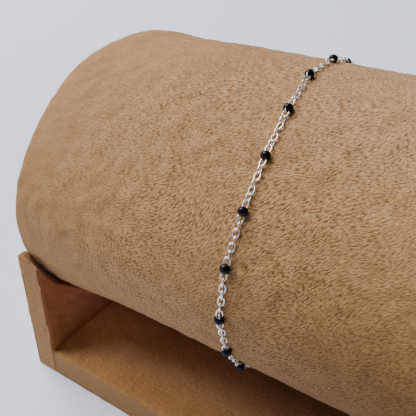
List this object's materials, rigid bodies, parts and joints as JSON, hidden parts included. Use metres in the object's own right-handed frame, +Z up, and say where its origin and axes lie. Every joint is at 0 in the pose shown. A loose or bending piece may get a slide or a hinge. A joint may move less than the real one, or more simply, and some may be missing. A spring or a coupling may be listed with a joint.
{
  "type": "beaded chain bracelet on a roll stand",
  "caption": "Fine cable chain bracelet with small round enamel beads, closed round a suede-covered oval roll that lies in a low cradle stand.",
  "frame": {"origin": "middle of the stand's underside, where it rests on a table", "axes": "+Z up, +X along the roll, -Y towards the front, where the beads show"},
  "size_m": [0.082, 0.0669, 0.0594],
  "materials": {
    "suede": "short-napped tan suede over a firm pad or board",
    "silver": "polished silver wire",
    "enamel": "glossy black enamel"
  },
  "bodies": {
    "root": {"roll": "suede", "base_floor": "suede", "end_panel_left": "suede", "end_panel_right": "suede", "bead_01": "enamel", "bead_02": "enamel", "bead_03": "enamel", "bead_04": "enamel", "bead_05": "enamel", "bead_06": "enamel", "bead_07": "enamel", "bead_08": "enamel", "bead_09": "enamel", "bead_10": "enamel", "bead_11": "enamel", "bead_12": "enamel", "bead_13": "enamel", "bead_14": "enamel", "bead_15": "enamel", "bead_16": "enamel", "bead_17": "enamel", "bead_18": "enamel", "bead_19": "enamel", "bead_20": "enamel", "bead_21": "enamel", "chain_01": "silver", "chain_02": "silver", "chain_03": "silver", "chain_04": "silver", "chain_05": "silver", "chain_06": "silver", "chain_07": "silver", "chain_08": "silver", "chain_09": "silver", "chain_10": "silver", "chain_11": "silver", "chain_12": "silver", "chain_13": "silver", "chain_14": "silver", "chain_15": "silver", "chain_16": "silver", "chain_17": "silver", "chain_18": "silver", "chain_19": "silver", "chain_20": "silver", "chain_21": "silver", "chain_22": "silver", "clasp": "silver"}
  },
  "joints": []
}
